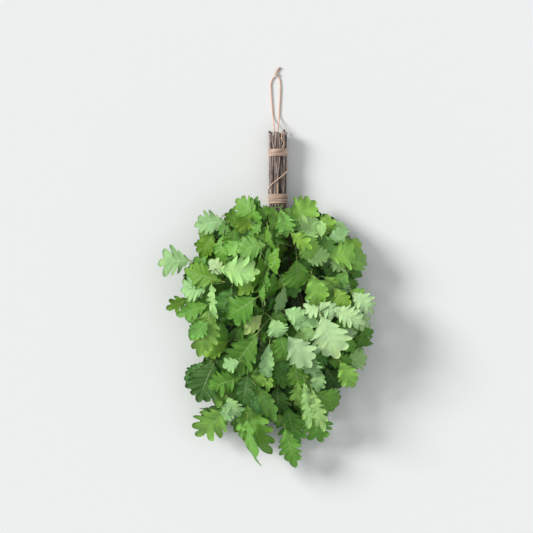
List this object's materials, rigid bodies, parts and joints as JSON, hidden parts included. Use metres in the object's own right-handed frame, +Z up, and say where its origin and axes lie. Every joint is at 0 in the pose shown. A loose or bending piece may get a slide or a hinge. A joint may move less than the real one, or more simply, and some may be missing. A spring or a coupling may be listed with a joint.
{
  "type": "sauna whisk",
  "caption": "Bundle of leafy oak branches tied into a handle with jute twine, lying down, with a hanging loop at the cut ends.",
  "frame": {"origin": "on the surface it lies on, below the middle of the whisk without its hanging loop", "axes": "+Y from the leaves towards the handle's cut ends, +X across the bundle, +Z up from the surface"},
  "size_m": [0.3854, 0.7264, 0.1369],
  "materials": {
    "oak_leaf": "matte leaf, waxy sheen on the upper face, pale underside",
    "oak_stem": "rough bark, pale cut ends",
    "jute_twine": "twisted jute, fuzzy and matte"
  },
  "bodies": {
    "root": {"diagonal_lashing": "jute_twine", "leaf_spray_01": "oak_leaf", "leaf_spray_02": "oak_leaf", "leaf_spray_03": "oak_leaf", "leaf_spray_04": "oak_leaf", "leaf_spray_05": "oak_leaf", "leaf_spray_06": "oak_leaf", "leaf_spray_07": "oak_leaf", "leaf_spray_08": "oak_leaf", "leaf_spray_09": "oak_leaf", "leaf_spray_10": "oak_leaf", "leaf_spray_11": "oak_leaf", "leaf_spray_12": "oak_leaf", "leaf_spray_13": "oak_leaf", "leaf_spray_14": "oak_leaf", "leaf_spray_15": "oak_leaf", "leaf_spray_16": "oak_leaf", "leaf_spray_17": "oak_leaf", "leaf_spray_18": "oak_leaf", "leaf_spray_19": "oak_leaf", "leaf_spray_20": "oak_leaf", "leaf_spray_21": "oak_leaf", "leaf_spray_22": "oak_leaf", "leaf_spray_23": "oak_leaf", "loop_cord_left": "jute_twine", "loop_cord_right": "jute_twine", "loop_knot": "jute_twine", "lower_binding": "jute_twine", "lower_twine_end": "jute_twine", "stem_01": "oak_stem", "stem_02": "oak_stem", "stem_03": "oak_stem", "stem_04": "oak_stem", "stem_05": "oak_stem", "stem_06": "oak_stem", "stem_07": "oak_stem", "stem_08": "oak_stem", "stem_09": "oak_stem", "stem_10": "oak_stem", "stem_11": "oak_stem", "stem_12": "oak_stem", "stem_13": "oak_stem", "stem_14": "oak_stem", "stem_15": "oak_stem", "stem_16": "oak_stem", "stem_17": "oak_stem", "stem_18": "oak_stem", "stem_19": "oak_stem", "stem_20": "oak_stem", "stem_21": "oak_stem", "stem_22": "oak_stem", "stem_23": "oak_stem", "stem_24": "oak_stem", "upper_binding": "jute_twine", "upper_twine_end": "jute_twine"}
  },
  "joints": []
}
